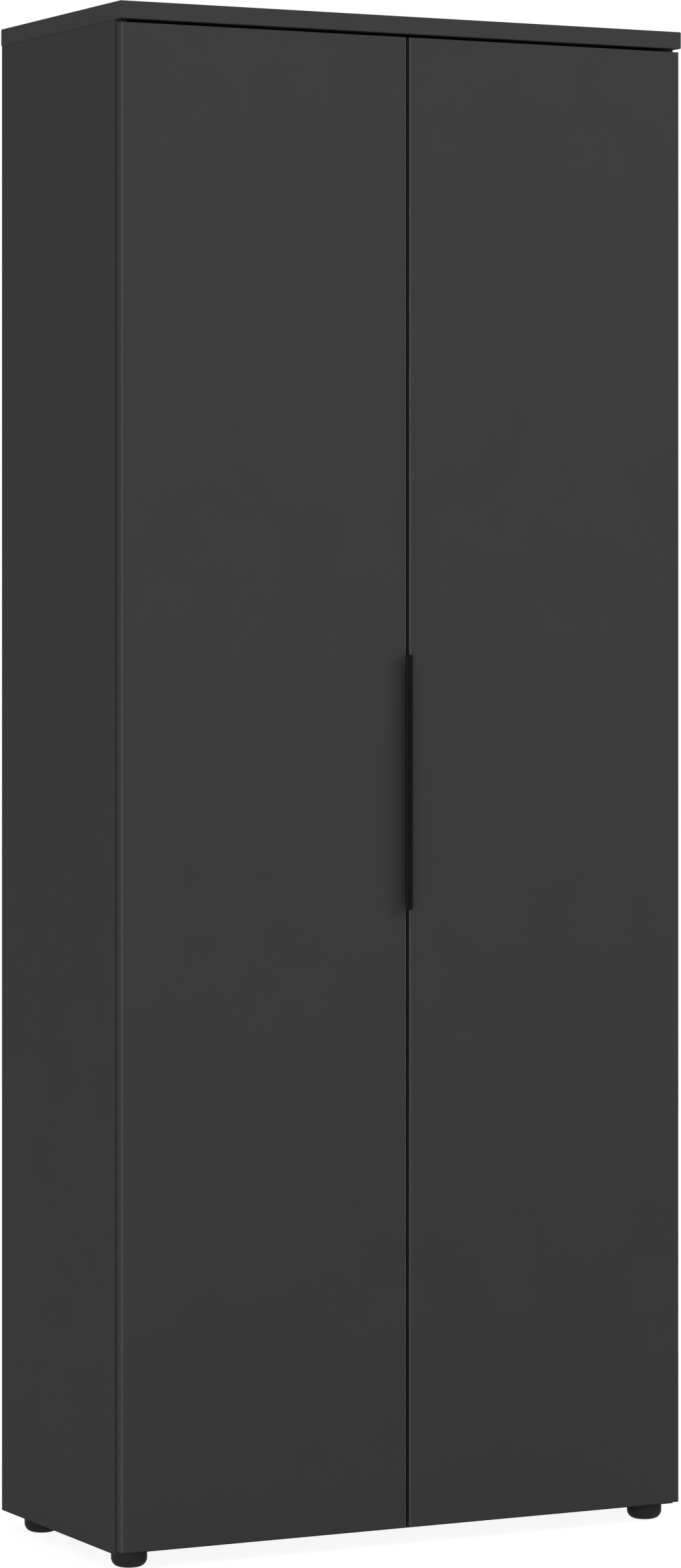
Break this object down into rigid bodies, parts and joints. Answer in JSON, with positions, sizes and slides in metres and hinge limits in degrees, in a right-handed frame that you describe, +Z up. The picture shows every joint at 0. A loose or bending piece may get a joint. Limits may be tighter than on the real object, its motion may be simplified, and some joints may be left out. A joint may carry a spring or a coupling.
{
  "type": "wardrobe with doors",
  "caption": "Tall, shallow freestanding wardrobe with full-height hinged doors, a slim vertical edge pull, hat and shoe shelves, a clothes rail and round glide feet.",
  "frame": {"origin": "on the floor, under the middle of the object's bounding box", "axes": "+Z up, the doors face -Y, +X to the right as seen from the front"},
  "size_m": [0.8, 0.383, 1.935],
  "materials": {
    "graphite_board": "matt dark graphite melamine on particle board",
    "graphite_edging": "matt dark graphite edge band",
    "back_board": "thin fibreboard with matt dark graphite foil",
    "back_strip": "matt black extruded plastic",
    "handle_metal": "satin black powder coat on aluminium",
    "foot_plastic": "satin black moulded plastic",
    "hinge_steel": "nickel-plated pressed steel",
    "rail_chrome": "bright chrome-plated tube",
    "zinc": "zinc-plated steel",
    "dowel_wood": "plain beech",
    "bumper_clear": "soft translucent pads"
  },
  "bodies": {
    "carcass": {"back_strip": "back_strip", "bottom_edging": "graphite_edging", "bottom_panel": "graphite_board", "cam_bolts": "zinc", "cam_locks": "zinc", "clothes_rail": "rail_chrome", "dowels": "dowel_wood", "foot_screws": "zinc", "glide_feet": "foot_plastic", "hat_shelf": "graphite_board", "hat_shelf_edging": "graphite_edging", "left_back_panel": "back_board", "left_clamp_screws": "zinc", "left_hinge_arms": "hinge_steel", "left_hinge_plates": "hinge_steel", "left_plate_screws": "zinc", "left_shelf_supports": "zinc", "left_side_edging": "graphite_edging", "left_side_panel": "graphite_board", "lower_shelf": "graphite_board", "lower_shelf_edging": "graphite_edging", "rail_brackets": "zinc", "rail_screws": "zinc", "right_back_panel": "back_board", "right_clamp_screws": "zinc", "right_hinge_arms": "hinge_steel", "right_hinge_plates": "hinge_steel", "right_plate_screws": "zinc", "right_shelf_supports": "zinc", "right_side_edging": "graphite_edging", "right_side_panel": "graphite_board", "top_edging": "graphite_edging", "top_panel": "graphite_board", "wall_bracket_screws": "zinc", "wall_brackets": "zinc"},
    "left_outer_links": {"left_outer_links": "hinge_steel"},
    "left_inner_links": {"left_inner_links": "hinge_steel"},
    "left_door": {"left_door": "graphite_board", "left_door_edging": "graphite_edging", "left_door_bumpers": "bumper_clear", "left_hinge_cups": "hinge_steel", "left_cup_screws": "zinc", "pull_handle": "handle_metal", "handle_screws": "zinc"},
    "right_outer_links": {"right_outer_links": "hinge_steel"},
    "right_inner_links": {"right_inner_links": "hinge_steel"},
    "right_door": {"right_door": "graphite_board", "right_door_edging": "graphite_edging", "right_door_bumpers": "bumper_clear", "right_hinge_cups": "hinge_steel", "right_cup_screws": "zinc"}
  },
  "joints": [
    {"name": "left_outer_link_turn", "type": "hinge", "parent": "carcass", "child": "left_outer_links", "pos_m": [-0.3704, -0.1522, 0.96665], "axis": [0, 0, 1], "range_deg": [0, 44.2]},
    {"name": "left_inner_link_turn", "type": "hinge", "parent": "carcass", "child": "left_inner_links", "pos_m": [-0.361, -0.157, 0.96665], "axis": [0, 0, 1], "range_deg": [0, 25.7]},
    {"name": "left_door_swing", "type": "hinge", "parent": "left_outer_links", "child": "left_door", "pos_m": [-0.3872, -0.1653, 0.96665], "axis": [0, 0, -1], "range_deg": [0, 139.18]},
    {"name": "right_outer_link_turn", "type": "hinge", "parent": "carcass", "child": "right_outer_links", "pos_m": [0.3704, -0.1522, 0.96665], "axis": [0, 0, -1], "range_deg": [0, 44.2]},
    {"name": "right_inner_link_turn", "type": "hinge", "parent": "carcass", "child": "right_inner_links", "pos_m": [0.361, -0.157, 0.96665], "axis": [0, 0, -1], "range_deg": [0, 25.7]},
    {"name": "right_door_swing", "type": "hinge", "parent": "right_outer_links", "child": "right_door", "pos_m": [0.3872, -0.1653, 0.96665], "axis": [0, 0, 1], "range_deg": [0, 139.18]}
  ],
  "couplings": [
    {"joint": "left_outer_link_turn", "follows": "left_door_swing", "ratio": 0.31741},
    {"joint": "left_inner_link_turn", "follows": "left_door_swing", "ratio": 0.1843},
    {"joint": "right_outer_link_turn", "follows": "right_door_swing", "ratio": 0.31741},
    {"joint": "right_inner_link_turn", "follows": "right_door_swing", "ratio": 0.1843}
  ]
}
